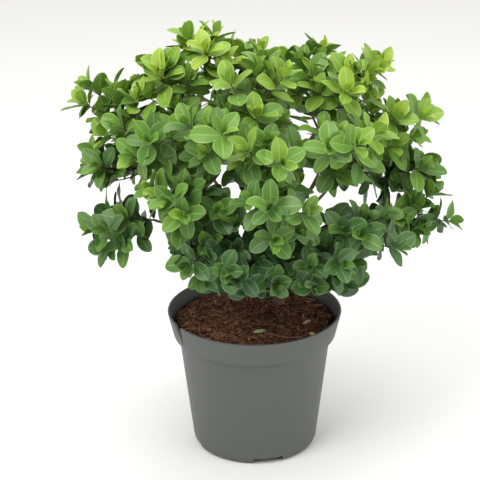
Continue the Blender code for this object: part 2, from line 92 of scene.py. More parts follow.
# Points round each corner of the pot's outline: outwards and upwards from the corner
SHARP = ((0.0, 0.0),)
FOOT_ROUNDING = ((0.0, 0.0), (0.0026, 0.0006), (0.0044, 0.0022))
BODY_FOOT_ROUNDING = ((-0.0006, -0.0026), (0.0, 0.0))
STEP_ROUNDING = ((-0.0001, -0.0008), (0.0006, 0.0002))
LIP_ROUNDING = ((-0.0012, -0.0012), (-0.0003, -0.0005), (0.0, 0.0004))
RIM_ROUNDING = (
    (-0.0004, -0.0010), (-0.0006, -0.0003), (-0.0011, 0.0), (-0.0020, 0.0), (-0.0025, -0.0005),
)

# Points of the tear under its open top: share of its width, share of its depth
TEAR_OUTLINE = (
    (0.46, 0.50),
    (0.28, 1.00),
    (-0.10, 0.45),
    (-0.32, 0.30),
)

# Bed of dark peat that fills the pot under the mulch
SOIL_HEIGHT = 0.1240
SOIL_MOUND = 0.0030
SOIL_FLAT_SHARE = 0.35
SOIL_RADIUS = 0.0742
SOIL_SINK = 0.0012
SOIL_BUMP = 0.0018
SOIL_GRAIN = 90.0
SOIL_RINGS = 30
SOIL_STEPS = 96
SOIL_WALL_GAP = 0.0006
SOIL_FOOT_GAP = 0.0022
SOIL_UNDERSIDE = 0.0040
PEAT_LOOK = ("peat", (0.030, 0.014, 0.009), 0.95, 0.2)

# Mulch tints: name, colour
MULCH_SEED = 5
MULCH_ROUGHNESS = 0.9
MULCH_SHINE = 0.2
MULCH_TINTS = (
    ("mulch_red", (0.170, 0.062, 0.034)),
    ("mulch_brown", (0.110, 0.050, 0.028)),
    ("mulch_dark", (0.045, 0.020, 0.013)),
    ("mulch_tan", (0.290, 0.150, 0.085)),
)

# Chips of bark: flat splinters, each end and side cut back to a share of its size
CHIPS = 3400
CHIP_TINT_WEIGHTS = (4, 4, 3, 1)
CHIP_RIM_GAP = 0.004
CHIP_TRUNK_GAP = 0.006
CHIP_LENGTH = (0.003, 0.011)
CHIP_WIDTH = (0.0008, 0.0026)
CHIP_THICKNESS = (0.0005, 0.0012)
CHIP_PITCH = 0.28
CHIP_ROLL = 0.5
CHIP_LIFT = 0.0022
CHIP_WIDTH_LEFT = (0.45, 1.0)
CHIP_LENGTH_LEFT = (0.8, 1.0)
BOX_FACES = (
    (3, 2, 1, 0), (4, 5, 6, 7), (0, 1, 5, 4), (1, 2, 6, 5), (2, 3, 7, 6), (3, 0, 4, 7),
)

# Fibres of bark: thin, bent, and more often in the tan tint
FIBRES = 420
FIBRE_TINTS = (0, 1, 3, 3)
FIBRE_START_GAP = 0.008
FIBRE_RIM_GAP = 0.003
FIBRE_LENGTH = (0.008, 0.022)
FIBRE_POINTS = 5
FIBRE_BEND = 0.25
FIBRE_LIFT = 0.0016
FIBRE_WAVE = 0.001
FIBRE_RADIUS = (0.00018, 0.0004)
FIBRE_SIDES = 4

# Strands and twigs on the mulch: name, colour, radius, points (x, y, height over the mulch)
STRAND_SIDES = 6
STRAND_ROUGHNESS = 0.85
STRAND_SHINE = 0.2
STRANDS = (
    ("root_strand_front", (0.235, 0.150, 0.085), 0.0006,
     ((0.002, -0.032, 0.004), (0.014, -0.043, 0.005), (0.028, -0.050, 0.005), (0.043, -0.049, 0.004))),
    ("root_strand_middle", (0.185, 0.105, 0.060), 0.0005,
     ((-0.012, -0.012, 0.004), (0.002, -0.022, 0.005), (0.018, -0.024, 0.005), (0.032, -0.034, 0.004))),
    ("dry_twig_right", (0.160, 0.085, 0.050), 0.0009,
     ((0.044, 0.022, 0.004), (0.052, 0.010, 0.008), (0.060, 0.004, 0.012))),
    ("dry_twig_back", (0.190, 0.105, 0.062), 0.0008,
     ((0.038, 0.034, 0.004), (0.050, 0.026, 0.009), (0.057, 0.018, 0.012))),
)

# Flat bits on the mulch: name, colour, place (x, y), length, width, heading in radians
BIT_ROUGHNESS = 0.6
BIT_SHINE = 0.3
BIT_LIFT = 0.0042
BIT_THICKNESS = 0.0006
BIT_OUTLINE = ((-0.5, 0.0), (-0.2, 0.4), (0.2, 0.5), (0.5, 0.0), (0.2, -0.5), (-0.2, -0.4))
BITS = (
    ("fallen_leaf", (0.420, 0.520, 0.230), (0.004, -0.036), 0.012, 0.006, 0.4),
    ("yellow_leaf_bit", (0.620, 0.470, 0.090), (0.052, -0.040), 0.007, 0.005, 1.9),
    ("pink_chip", (0.480, 0.270, 0.200), (0.048, -0.014), 0.012, 0.0045, 0.9),
)

# Limbs, with the places and sizes of the solid ones
CLEAR = 0.0003
TRUNK_FOOT = Vector((0.0230, 0.0320, SOIL_HEIGHT + CLEAR))
TRUNK_TIP = Vector((0.0185, 0.0380, 0.2700))
TRUNK_FOOT_RADIUS = 0.0040
TRUNK_TIP_RADIUS = 0.0017
TRUNK_FLARE = 0.0026
TRUNK_FLARE_HEIGHT = 0.0100
TRUNK_FLARE_FALL = 2.0
TRUNK_SWAY = 0.0034
TRUNK_SWAY_TURNS = 1.4
TRUNK_SWAY_DEPTH = 0.4
TRUNK_SWAY_FADE = 1.02
TRUNK_STEPS = 40
TRUNK_STEP_POWER = 1.25
BOUGH_TIP_RADIUS = 0.0012
BOUGH_RISE = 0.35
BOUGH_STEPS = 20
LIMB_PULL = 0.33
LIMB_SUNK = 0.002
LIMB_SIDES = 12
LEAVE_SIDEWAYS = 0.86
LEAVE_AHEAD = 0.50
SHORTEST_SIDE = 1e-4
BARK_RELIEF = 0.13
BARK_FINE_RELIEF = 0.5
BARK_GRAIN = 260.0
BARK_GRAIN_ROUND = 2.2
BARK_FINE_GRAIN = 3.1
BARK_LOOK = ("bark", (0.150, 0.105, 0.070), 0.85)
TWIG_BARK_LOOK = ("twig_bark", (0.060, 0.040, 0.026), 0.75)

# Boughs: name, limb that carries it, place along that limb, tip, radius at the start
BOUGHS = (
    ("bough_left", "trunk", 0.16, (-0.100, -0.022, 0.288), 0.0021),
    ("bough_left_low", "bough_left", 0.62, (-0.088, -0.036, 0.236), 0.0014),
    ("bough_left_upper", "trunk", 0.56, (-0.058, -0.008, 0.305), 0.0019),
    ("bough_centre_left", "trunk", 0.84, (-0.026, 0.012, 0.315), 0.0016),
    ("bough_front_upper", "trunk", 0.72, (-0.003, -0.045, 0.292), 0.0017),
    ("bough_front", "trunk", 0.34, (0.002, -0.064, 0.232), 0.0018),
    ("bough_front_left", "trunk", 0.46, (-0.036, -0.058, 0.247), 0.0018),
    ("bough_right_top", "trunk", 0.90, (0.060, 0.006, 0.312), 0.0016),
    ("bough_right_front", "trunk", 0.64, (0.054, -0.040, 0.272), 0.0017),
    ("bough_right_upper", "trunk", 0.52, (0.084, 0.018, 0.268), 0.0018),
    ("bough_right", "trunk", 0.20, (0.092, 0.000, 0.216), 0.0020),
    ("bough_right_low", "trunk", 0.28, (0.058, -0.050, 0.206), 0.0018),
    ("bough_back", "trunk", 0.40, (0.010, 0.082, 0.250), 0.0018),
    ("bough_back_left", "trunk", 0.24, (-0.052, 0.058, 0.238), 0.0018),
    ("bough_back_right", "trunk", 0.50, (0.066, 0.068, 0.252), 0.0018),
)

# Masses of foliage: name, limb that carries it, place along that limb, tip of the leading
# shoot, age (0 young tips, 1 old wood)
MASSES = (
    ("foliage_left_tip", "bough_left", 1.0, (-0.121, 0.000, 0.341), 0.1),
    ("foliage_left_mid", "bough_left", 0.90, (-0.118, -0.012, 0.288), 0.4),
    ("foliage_left_low", "bough_left_low", 1.0, (-0.112, -0.042, 0.243), 0.5),
    ("foliage_left_upper", "bough_left_upper", 1.0, (-0.073, -0.008, 0.368), 0.2),
    ("foliage_left_front", "bough_left_upper", 0.92, (-0.087, -0.050, 0.322), 0.4),
    ("foliage_top_left", "bough_centre_left", 1.0, (-0.042, 0.010, 0.384), 0.0),
    ("foliage_top_back", "trunk", 1.0, (-0.010, 0.058, 0.362), 0.1),
    ("foliage_top_front", "bough_front_upper", 1.0, (0.004, -0.034, 0.372), 0.1),
    ("foliage_front_left_upper", "bough_front_upper", 0.90, (-0.036, -0.086, 0.338), 0.4),
    ("foliage_front_upper", "bough_front_upper", 0.80, (0.010, -0.098, 0.326), 0.3),
    ("foliage_top_right", "bough_right_top", 0.92, (0.044, 0.008, 0.368), 0.1),
    ("foliage_right_top", "bough_right_top", 1.0, (0.084, -0.018, 0.366), 0.0),
    ("foliage_right_upper", "bough_right_upper", 1.0, (0.124, 0.012, 0.318), 0.1),
    ("foliage_right_mid", "bough_right_upper", 0.90, (0.142, 0.018, 0.270), 0.3),
    ("foliage_right_low", "bough_right", 1.0, (0.144, -0.020, 0.242), 0.3),
    ("foliage_right_front_upper", "bough_right_front", 1.0, (0.074, -0.074, 0.325), 0.2),
    ("foliage_right_front", "bough_right_low", 1.0, (0.092, -0.084, 0.254), 0.5),
    ("foliage_front_right_low", "bough_right_low", 0.90, (0.058, -0.104, 0.236), 0.7),
    ("foliage_front_mid", "bough_front", 1.0, (0.020, -0.116, 0.290), 0.4),
    ("foliage_front_low", "bough_front", 0.88, (0.006, -0.108, 0.226), 0.8),
    ("foliage_front_left", "bough_front_left", 1.0, (-0.060, -0.096, 0.288), 0.4),
    ("foliage_front_left_low", "bough_front_left", 0.90, (-0.040, -0.106, 0.240), 0.7),
    ("foliage_skirt_front", "trunk", 0.17, (-0.014, -0.050, 0.192), 1.0),
    ("foliage_skirt_right", "trunk", 0.23, (0.040, -0.028, 0.184), 1.0),
    ("foliage_back_left", "bough_back_left", 1.0, (-0.104, 0.080, 0.272), 0.4),
    ("foliage_back_left_upper", "bough_back_left", 0.90, (-0.062, 0.088, 0.322), 0.2),
    ("foliage_back_mid", "bough_back", 1.0, (0.004, 0.124, 0.306), 0.3),
    ("foliage_back_low", "bough_back", 0.88, (0.012, 0.118, 0.234), 0.7),
    ("foliage_back_right_upper", "bough_back_right", 1.0, (0.066, 0.094, 0.324), 0.2),
    ("foliage_back_right", "bough_back_right", 0.90, (0.112, 0.078, 0.266), 0.5),
)

# Space the crown keeps to: its floor rises towards the front, so that the mulch shows
CROWN_CENTRE = Vector((0.005, 0.010, 0.240))
CROWN_RADIUS = 0.16
LOWEST_LEAF = SOIL_HEIGHT + 0.026
FRONT_RISE = 0.40
LEAF_ABOVE_TIP = 0.026
TWIG_ABOVE_TIP = 0.006
REACH_SPARE = 0.002

# Twigs
CROWN_SEED = 11
GOLDEN_ANGLE = math.radians(137.5)
STEM_RADIUS = 0.0011
STEM_RISE = 0.5
TWIG_RADIUS = 0.0008
TWIG_TIP_RADIUS = 0.0005
TWIG_SIDES = 6
TWIG_STEPS = 5
TWIG_LENGTH = (0.024, 0.044)
TWIG_TRIES = 6
SHORTER_EACH_TRY = 0.08
TWIGS_PER_MASS = 8
FIRST_TWIG_SHARE = 0.18
TWIG_SHARE_SPAN = 0.74
TWIG_RADIAL = 0.9
TWIG_AHEAD = 0.45
TWIG_OUTWARD = 0.45
TWIG_UPWARD = 0.15
TWIG_LEAVE_AHEAD = 0.6
TWIG_RISE = 0.3
NEIGHBOUR_SPARE = 0.9
PATH_STRIDE = 4

# Leaves along a shoot: a rosette at its tip, opening outwards, then single leaves. A leaf's
# part is its place in the rosette, 0 at the heart and 1 at the rim; lower leaves have more.
LEAVES_AT_STEM_TIP = 10
LEAVES_AT_TWIG_TIP = 7
STEM_BARE_SHARE = 0.30
TWIG_BARE_SHARE = 0.35
ROSETTE_SPACING = 0.0013
ROSETTE_START = 0.2
ROSETTE_HEART_OPENING = 16.0
ROSETTE_OPENING_SPAN = 60.0
LEAF_SPACING = 0.0075
LEAF_START = 0.6
SINGLE_LEAF_OPENING = 76.0
SINGLE_LEAF_PART = 1.25
LEAF_TRIES = 3
OPENING_SPREAD = (-10.0, 12.0)
LEAF_UPWARD = 0.12
LEAF_FACES_UP = 0.5
LEAF_ROLL = 0.35

# Blade of a leaf; leaves at a rosette's heart are smaller: part below which, share of size
LEAF_LENGTH = (0.0195, 0.0270)
LEAF_WIDTH = 0.62
LEAF_WIDTH_SPREAD = (0.92, 1.12)
HEART_LEAVES = ((0.2, 0.62), (0.4, 0.85))
LEAF_FOLD = 0.55
LEAF_UNFOLD = 0.40
LEAF_FOLD_SPREAD = 0.08
LEAF_ARCH = 0.02
LEAF_ARCH_SPAN = 0.10
LEAF_TWIST = 0.25
LEAF_WAVE = (0.008, 0.022)
LEAF_WAVE_TURNS = 11.0
LEAF_WAVE_OFFSET = 2.0
LEAF_WAVE_START = 0.1
STALK_SHARE = 0.05
STALK_HALF_WIDTH = 0.07
BLADE_MIDDLE = 0.5
BLADE_SKEW = 1.12
BLADE_ROUNDNESS = 0.58
LEAF_ROWS = (0.0, 0.06, 0.15, 0.28, 0.42, 0.56, 0.70, 0.82, 0.92, 0.98, 1.0)
LEAF_COLUMNS = (-1.0, -0.88, -0.46, -0.06, 0.06, 0.46, 0.88, 1.0)
PALE_COLUMNS = (0, 3, 6)

# Tone of a leaf: darker with age and away from the rosette's heart, and with painted shade low down and
# deep inside the crown
SHADE_OF_AGE = 0.55
PAINTED_SHADE_LOW_DOWN = 0.55
PAINTED_SHADE_DEEP_INSIDE = 0.35
SHADE_SPREAD = 0.12
TONE_OF_SHADE = 4.6
TONE_OF_PART = 1.1
TONE_START = -0.5
TONE_SPREAD = 0.6

# Tints from the lightest, young tips to the darkest, for old wood and for painted shade deep in the
# crown: name, blade, pale edge, slot
BLADE_ROUGHNESS = 0.42
BLADE_SHINE = 0.4
EDGE_ROUGHNESS = 0.5
EDGE_SHINE = 0.3
TINTS = (
    ("young_bright", (0.330, 0.480, 0.055), (0.470, 0.600, 0.130), "young_leaf"),
    ("young_green", (0.215, 0.375, 0.045), (0.350, 0.500, 0.110), "young_leaf"),
    ("fresh_green", (0.135, 0.275, 0.038), (0.260, 0.400, 0.100), "grown_leaf"),
    ("mid_green", (0.090, 0.200, 0.036), (0.200, 0.320, 0.090), "grown_leaf"),
    ("deep_green", (0.058, 0.140, 0.034), (0.155, 0.255, 0.090), "grown_leaf"),
    ("old_green", (0.036, 0.092, 0.032), (0.130, 0.215, 0.090), "old_leaf"),
)

# Studio
FLOOR_SIZE = 12.0
FLOOR_LOOK = ("studio_floor", (0.86, 0.86, 0.84), 0.9, 0.1)
WORLD_COLOUR = (1.0, 0.995, 0.98, 1.0)
WORLD_STRENGTH = 0.75

# Lights: name, place, size, power
LIGHT_TARGET = Vector((0.0, 0.0, 0.22))
LIGHTS = (
    ("key", (-0.9, -1.1, 1.7), 1.1, 26.0),
    ("fill", (1.4, -0.9, 1.0), 1.4, 10.0),
    ("top", (0.1, 0.3, 1.9), 1.4, 14.0),
)

# Camera of the photograph, from the ruler's marks and the pot's ovals
CAMERA_PLACE = (-0.01294, -1.44183, 0.78456)
CAMERA_PITCH = 0.384
CAMERA_ROLL = 0.008
CAMERA_FOCAL_PIXELS = 1700.0
FRAME_PIXELS = 480.0
SENSOR_MM = 36.0

UP = Vector((0.0, 0.0, 1.0))


def material(name, colour, roughness, specular=0.5):
    mat = bpy.data.materials.new(name)
    mat.use_nodes = True
    shader = mat.node_tree.nodes["Principled BSDF"]
    shader.inputs["Base Color"].default_value = (*colour, 1.0)
    shader.inputs["Roughness"].default_value = roughness
    shader.inputs["Specular IOR Level"].default_value = specular
    return mat


class Batch:
    """Vertices and faces gathered for one joined mesh."""

    def __init__(self):
        self.verts = []
        self.faces = []
        self.looks = []

    def add(self, verts, faces, look=0):
        """Take in a shape whose faces all have one look, or a list of a look each."""
        start = len(self.verts)
        self.verts.extend(verts)
        for n, face in enumerate(faces):
            self.faces.append([i + start for i in face])
            self.looks.append(look[n] if isinstance(look, list) else look)

    def piece(self, name, mats, slot, smooth=True):
        """Make the joined mesh, a piece that rides on the plant."""
        mesh = bpy.data.meshes.new(name)
        mesh.from_pydata([tuple(v) for v in self.verts], [], self.faces)
        for mat in mats:
            mesh.materials.append(mat)
        mesh.polygons.foreach_set("material_index", self.looks)
        obj = bpy.data.objects.new(name, mesh)
        bpy.context.scene.collection.objects.link(obj)
        if smooth:
            mesh.shade_smooth()
        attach(obj, "root")
        return obj


def bezier(p0, p1, p2, p3, t):
    s = 1.0 - t
    return p0 * s ** 3 + p1 * 3 * s * s * t + p2 * 3 * s * t * t + p3 * t ** 3


def limb_path(start, leave, tip, arrive, steps):
    """Smooth path that leaves along one direction and arrives along another."""
    span = (tip - start).length
    p1 = start + leave * span * LIMB_PULL
    p2 = tip - arrive * span * LIMB_PULL
    return [bezier(start, p1, p2, tip, i / steps) for i in range(steps + 1)]


def tube(path, radii, sides, relief=0.0):
    """Closed tapered tube along a path, with cracked relief if asked."""
    verts, faces = [], []
    across = None
    for i, point in enumerate(path):
        ahead = (path[min(i + 1, len(path) - 1)] - path[max(i - 1, 0)]).normalized()
        if across is None:
            across = ahead.orthogonal().normalized()
        across = (across - ahead * across.dot(ahead)).normalized()
        third = ahead.cross(across)
        for k in range(sides):
            turn = k * math.tau / sides
            offset = across * math.cos(turn) + third * math.sin(turn)
            radius = radii[i]
            if relief:
                place = point * BARK_GRAIN + offset * BARK_GRAIN_ROUND
                fine = relief * BARK_FINE_RELIEF * noise.noise(place * BARK_FINE_GRAIN)
                radius *= 1.0 + relief * noise.noise(place) + fine
            verts.append(point + offset * radius)
    for i in range(len(path) - 1):
        a, b = i * sides, (i + 1) * sides
        for k in range(sides):
            j = (k + 1) % sides
            faces.append((a + k, a + j, b + j, b + k))
    faces.append(tuple(reversed(range(sides))))
    faces.append(tuple(range(len(verts) - sides, len(verts))))
    return verts, faces


def along(path, t):
    """Point and direction at a share t of a path."""
    place = min(max(t, 0.0), 1.0) * (len(path) - 1)
    i = min(int(place), len(path) - 2)
    return path[i].lerp(path[i + 1], place - i), (path[i + 1] - path[i]).normalized()


def tapered(start_radius, tip_radius, steps):
    return [start_radius + (tip_radius - start_radius) * i / steps for i in range(steps + 1)]


def round_about(ahead, turn):
    """Direction square to another, at a turn round it."""
    across = ahead.orthogonal().normalized()
    third = ahead.cross(across)
    return across * math.cos(turn) + third * math.sin(turn)


def start_on(path, t, target):
    """Where a limb starts inside the one that carries it, and its direction there."""
    point, ahead = along(path, t)
    if t >= 1.0:
        return path[-1] - ahead * LIMB_SUNK, ahead
    aim = (target - point).normalized()
    side = aim - ahead * aim.dot(ahead)
    if side.length > SHORTEST_SIDE:
        side = side.normalized()
    else:
        side = ahead.orthogonal().normalized()
    return point, (side * LEAVE_SIDEWAYS + ahead * LEAVE_AHEAD).normalized()


def trunk_limb():
    """Path and radii of the trunk, which leans, sways and flares at its foot."""
    path, radii = [], []
    for i in range(TRUNK_STEPS + 1):
        t = (i / TRUNK_STEPS) ** TRUNK_STEP_POWER
        point = TRUNK_FOOT.lerp(TRUNK_TIP, t)
        fade = math.sin(math.pi * min(1.0, t * TRUNK_SWAY_FADE))
        sway = math.sin(math.tau * TRUNK_SWAY_TURNS * t) * TRUNK_SWAY * fade
        path.append(point + Vector((sway, sway * TRUNK_SWAY_DEPTH, 0.0)))
        taper = TRUNK_FOOT_RADIUS + (TRUNK_TIP_RADIUS - TRUNK_FOOT_RADIUS) * t
        height = point.z - TRUNK_FOOT.z
        radii.append(taper + TRUNK_FLARE * math.exp(-height / TRUNK_FLARE_HEIGHT * TRUNK_FLARE_FALL))
    return path, radii


def grown_limb(limbs, parent, t, tip, radius, tip_radius, rise):
    """Path and radii of a bough or stem that grows from a limb to its own tip."""
    tip = Vector(tip)
    start, leave = start_on(limbs[parent][0], t, tip)
    arrive = ((tip - start).normalized() + UP * rise).normalized()
    path = limb_path(start, leave, tip, arrive, BOUGH_STEPS)
    return path, tapered(radius, tip_radius, BOUGH_STEPS)


def distance_to_path(point, path):
    """Distance to a path, taken as straight from each few of its points to the next."""
    best = math.inf
    for a, b in zip(path[::PATH_STRIDE], path[PATH_STRIDE::PATH_STRIDE]):
        step = b - a
        t = max(0.0, min(1.0, (point - a).dot(step) / step.length_squared))
        best = min(best, (point - a - step * t).length)
    return best


def in_reach(point, ceiling):
    """Inside the solid crown's reach, under the mass's own top, clear of the mulch."""
    if not LOWEST_LEAF + FRONT_RISE * max(0.0, -point.y) < point.z < ceiling:
        return False
    return all(
        low_corner[i] - REACH_SPARE < point[i] < high_corner[i] + REACH_SPARE
        for i in range(3)
    )


def half_width(s):
    """Half width of the blade at share s of its length, as a share of its widest."""
    if s < STALK_SHARE:
        return STALK_HALF_WIDTH
    u = ((s - STALK_SHARE) / (1.0 - STALK_SHARE)) ** BLADE_SKEW
    least = STALK_HALF_WIDTH if s < BLADE_MIDDLE else 0.0
    return max(least, math.sin(math.pi * u) ** BLADE_ROUNDNESS)


def leaf_mesh(rng, root, way, face, length, width, fold, arch):
    """One blade: folded along its midrib, arched, twisted, and rippled at the edge."""
    side = way.cross(face).normalized()
    wave = rng.uniform(*LEAF_WAVE) * length
    phase = rng.uniform(0.0, math.tau)
    twist = rng.uniform(-LEAF_TWIST, LEAF_TWIST)
    verts, faces, looks = [], [], []
    for s in LEAF_ROWS:
        half = width / 2 * half_width(s)
        lift = -arch * length * s * s
        turn = Matrix.Rotation(twist * s, 3, way)
        for c in LEAF_COLUMNS:
            across = c * half
            edge = abs(c) * half * math.sin(fold)
            ripple_turn = phase + s * LEAF_WAVE_TURNS + (LEAF_WAVE_OFFSET if c > 0 else 0.0)
            ripple = wave * c * c * math.sin(ripple_turn) * (s > LEAF_WAVE_START)
            spread = side * across * math.cos(fold) + face * (edge + ripple)
            verts.append(root + way * length * s + face * lift + turn @ spread)
    columns = len(LEAF_COLUMNS)
    for r in range(len(LEAF_ROWS) - 1):
        for c in range(columns - 1):
            a = r * columns + c
            faces.append((a, a + 1, a + 1 + columns, a + columns))
            looks.append(1 if c in PALE_COLUMNS or r == 0 else 0)
    return verts, faces, looks


class Crown:
    """Grows twigs and leaves for one mass after another."""

    def __init__(self, stems):
        self.stems = stems
        self.leaves = [Batch() for _ in TINTS]
        self.twigs = Batch()
        self.ceiling = 0.0

    def grow(self, name, age):
        """The twigs and leaves of one mass, from its stem."""
        rng = random.Random(f"{CROWN_SEED} {name}")
        path, radii = self.stems[name]
        self.ceiling = path[-1].z + LEAF_ABOVE_TIP
        self.twigs.add(*tube(path, radii, TWIG_SIDES))
        self.shoot_leaves(rng, path, LEAVES_AT_STEM_TIP, STEM_BARE_SHARE, age)
        turn = rng.uniform(0.0, math.tau)
        for k in range(TWIGS_PER_MASS):
            share = FIRST_TWIG_SHARE + TWIG_SHARE_SPAN * (k + 0.5) / TWIGS_PER_MASS
            for attempt in range(TWIG_TRIES):
                turn += GOLDEN_ANGLE
                twig = self.side_twig(rng, path, share, turn, attempt)
                if self.twig_fits(name, twig[-1], path):
                    twig_radii = tapered(TWIG_RADIUS, TWIG_TIP_RADIUS, TWIG_STEPS)
                    self.twigs.add(*tube(twig, twig_radii, TWIG_SIDES))
                    self.shoot_leaves(rng, twig, LEAVES_AT_TWIG_TIP, TWIG_BARE_SHARE, age)
                    break

    def twig_fits(self, name, tip, path):
        """In reach, and not well nearer to the stem of another mass."""
        near = distance_to_path(tip, path) * NEIGHBOUR_SPARE
        others = (other for key, (other, _) in self.stems.items() if key != name)
        if any(distance_to_path(tip, other) < near for other in others):
            return False
        return in_reach(tip, path[-1].z + TWIG_ABOVE_TIP)

    def side_twig(self, rng, path, share, turn, attempt):
        """Path of a twig that leaves a stem at a turn round it."""
        point, ahead = along(path, share)
        radial = round_about(ahead, turn)
        outward = (point - CROWN_CENTRE).normalized()
        aim = radial * TWIG_RADIAL + ahead * TWIG_AHEAD + outward * TWIG_OUTWARD + UP * TWIG_UPWARD
        aim.normalize()
        leave = (radial + ahead * TWIG_LEAVE_AHEAD).normalized()
        length = rng.uniform(*TWIG_LENGTH) * (1.0 - SHORTER_EACH_TRY * attempt)
        arrive = (aim + UP * TWIG_RISE).normalized()
        return limb_path(point, leave, point + aim * length, arrive, TWIG_STEPS)

    def shoot_leaves(self, rng, shoot, at_tip, bare, age):
        """A rosette at a shoot's tip, then single leaves down to its bare part."""
        length = sum((b - a).length for a, b in zip(shoot, shoot[1:]))
        count = int(length * (1.0 - bare) / LEAF_SPACING)
        turn = rng.uniform(0.0, math.tau)
        # Painted shade: shoots lower down and nearer the middle of the crown get darker leaves, on top
        # of the darkening with age
        height = (shoot[-1].z - LOWEST_LEAF) / (high_corner[2] - LOWEST_LEAF)
        outer = min(1.0, (shoot[-1] - CROWN_CENTRE).length / CROWN_RADIUS)
        age_and_painted_shade = age * SHADE_OF_AGE + (1.0 - height) * PAINTED_SHADE_LOW_DOWN + (1.0 - outer) * PAINTED_SHADE_DEEP_INSIDE
        age_and_painted_shade += rng.uniform(-SHADE_SPREAD, SHADE_SPREAD)
        places = []
        for k in range(at_tip):
            part = k / max(1, at_tip - 1)
            opening = ROSETTE_HEART_OPENING + ROSETTE_OPENING_SPAN * part
            places.append((1.0 - (k + ROSETTE_START) * ROSETTE_SPACING / length, opening, part))
        for k in range(count):
            below = at_tip * ROSETTE_SPACING + (k + LEAF_START) * LEAF_SPACING
            places.append((1.0 - below / length, SINGLE_LEAF_OPENING, SINGLE_LEAF_PART))
        for share, opening, part in places:
            for _ in range(LEAF_TRIES):
                turn += GOLDEN_ANGLE
                if self.leaf(rng, shoot, share, turn, opening, part, age_and_painted_shade):
                    break

    def leaf(self, rng, shoot, share, turn, opening, part, age_and_painted_shade):
        """Add one leaf, unless its tip would be out of reach."""
        point, ahead = along(shoot, share)
        radial = round_about(ahead, turn)
        angle = math.radians(opening + rng.uniform(*OPENING_SPREAD))
        way = (ahead * math.cos(angle) + radial * math.sin(angle) + UP * LEAF_UPWARD).normalized()
        face = ahead * math.sin(angle) - radial * math.cos(angle) + UP * LEAF_FACES_UP
        face = (face - way * face.dot(way)).normalized()
        roll = rng.uniform(-LEAF_ROLL, LEAF_ROLL)
        face = face * math.cos(roll) + way.cross(face) * math.sin(roll)
        small = next((size for end, size in HEART_LEAVES if part < end), 1.0)
        length = rng.uniform(*LEAF_LENGTH) * small
        if not in_reach(point + way * length, self.ceiling):
            return False
        grown = min(1.0, part)
        fold = LEAF_FOLD - LEAF_UNFOLD * grown + rng.uniform(-LEAF_FOLD_SPREAD, LEAF_FOLD_SPREAD)
        arch = LEAF_ARCH + LEAF_ARCH_SPAN * grown
        width = length * LEAF_WIDTH * rng.uniform(*LEAF_WIDTH_SPREAD)
        # The tint takes in age, the place in the rosette and the painted shade of low and inner shoots
        tone = age_and_painted_shade * TONE_OF_SHADE + part * TONE_OF_PART + TONE_START
        tone += rng.uniform(-TONE_SPREAD, TONE_SPREAD)
        tint = max(0, min(len(TINTS) - 1, int(round(tone))))
        self.leaves[tint].add(*leaf_mesh(rng, point, way, face, length, width, fold, arch))
        return True


def build_limbs():
    """Trunk and boughs with bark relief, in place of the plain ones."""
    bark = material(*BARK_LOOK)
    limbs = {"trunk": trunk_limb()}
    for name, parent, t, tip, radius in BOUGHS:
        limbs[name] = grown_limb(limbs, parent, t, tip, radius, BOUGH_TIP_RADIUS, BOUGH_RISE)
    for name, (path, radii) in limbs.items():
        batch = Batch()
        batch.add(*tube(path, radii, LIMB_SIDES, BARK_RELIEF))
        piece = batch.piece(name + "_bark", [bark], "bark")
        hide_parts(name)
    return limbs


def build_foliage(limbs):
    """Twigs and leaves in place of all the masses of foliage."""
    stems = {}
    for name, parent, t, tip, _ in MASSES:
        stems[name] = grown_limb(limbs, parent, t, tip, STEM_RADIUS, TWIG_RADIUS, STEM_RISE)
    crown = Crown(stems)
    for name, _, _, _, age in MASSES:
        crown.grow(name, age)
    twigs = crown.twigs.piece("twigs", [material(*TWIG_BARK_LOOK)], "bark")
    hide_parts(*[row[0] for row in MASSES])
    for batch, (name, blade, pale, slot) in zip(crown.leaves, TINTS):
        blade_look = material(name, blade, BLADE_ROUGHNESS, BLADE_SHINE)
        edge_look = material(name + "_edge", pale, EDGE_ROUGHNESS, EDGE_SHINE)
        batch.piece("leaves_" + name, [blade_look, edge_look], slot)


def turned(name, profile, steps, mat):
    """Closed shell turned round Z from an outline of (radius, height)."""
    verts, faces = [], []
    for r, z in profile[1:-1]:
        for k in range(steps):
            turn = k * math.tau / steps
            verts.append((r * math.cos(turn), r * math.sin(turn), z))
    count = len(profile) - 2
    for i in range(count - 1):
        for k in range(steps):
            j = (k + 1) % steps
            faces.append((i * steps + k, i * steps + j, (i + 1) * steps + j, (i + 1) * steps + k))
    verts += [(0.0, 0.0, profile[0][1]), (0.0, 0.0, profile[-1][1])]
    low, high = len(verts) - 2, len(verts) - 1
    for k in range(steps):
        j = (k + 1) % steps
        faces.append((low, j, k))
        faces.append((high, (count - 1) * steps + k, (count - 1) * steps + j))
    mesh = bpy.data.meshes.new(name)
    mesh.from_pydata(verts, [], faces)
    mesh.materials.append(mat)
    obj = bpy.data.objects.new(name, mesh)
    bpy.context.scene.collection.objects.link(obj)
    return obj


def cut(obj, loop, reaches, angle):
    """Cut a prism out of a shell: a loop of (sideways, height) between two reaches."""
    out = Vector((math.cos(angle), math.sin(angle), 0.0))
    side = Vector((-math.sin(angle), math.cos(angle), 0.0))
    verts, count = [], len(loop)
    for reach in reaches:
        verts += [out * reach + side * s + UP * z for s, z in loop]
    faces = [tuple(range(count)), tuple(reversed(range(count, 2 * count)))]
    faces += [(i + count, (i + 1) % count + count, (i + 1) % count, i) for i in range(count)]
    mesh = bpy.data.meshes.new("cutter")
    mesh.from_pydata([tuple(v) for v in verts], [], faces)
    cutter = bpy.data.objects.new("cutter", mesh)
    bpy.context.scene.collection.objects.link(cutter)
    modifier = obj.modifiers.new("cut", "BOOLEAN")
    modifier.operation = "DIFFERENCE"
    modifier.solver = "MANIFOLD"
    modifier.object = cutter
    return cutter


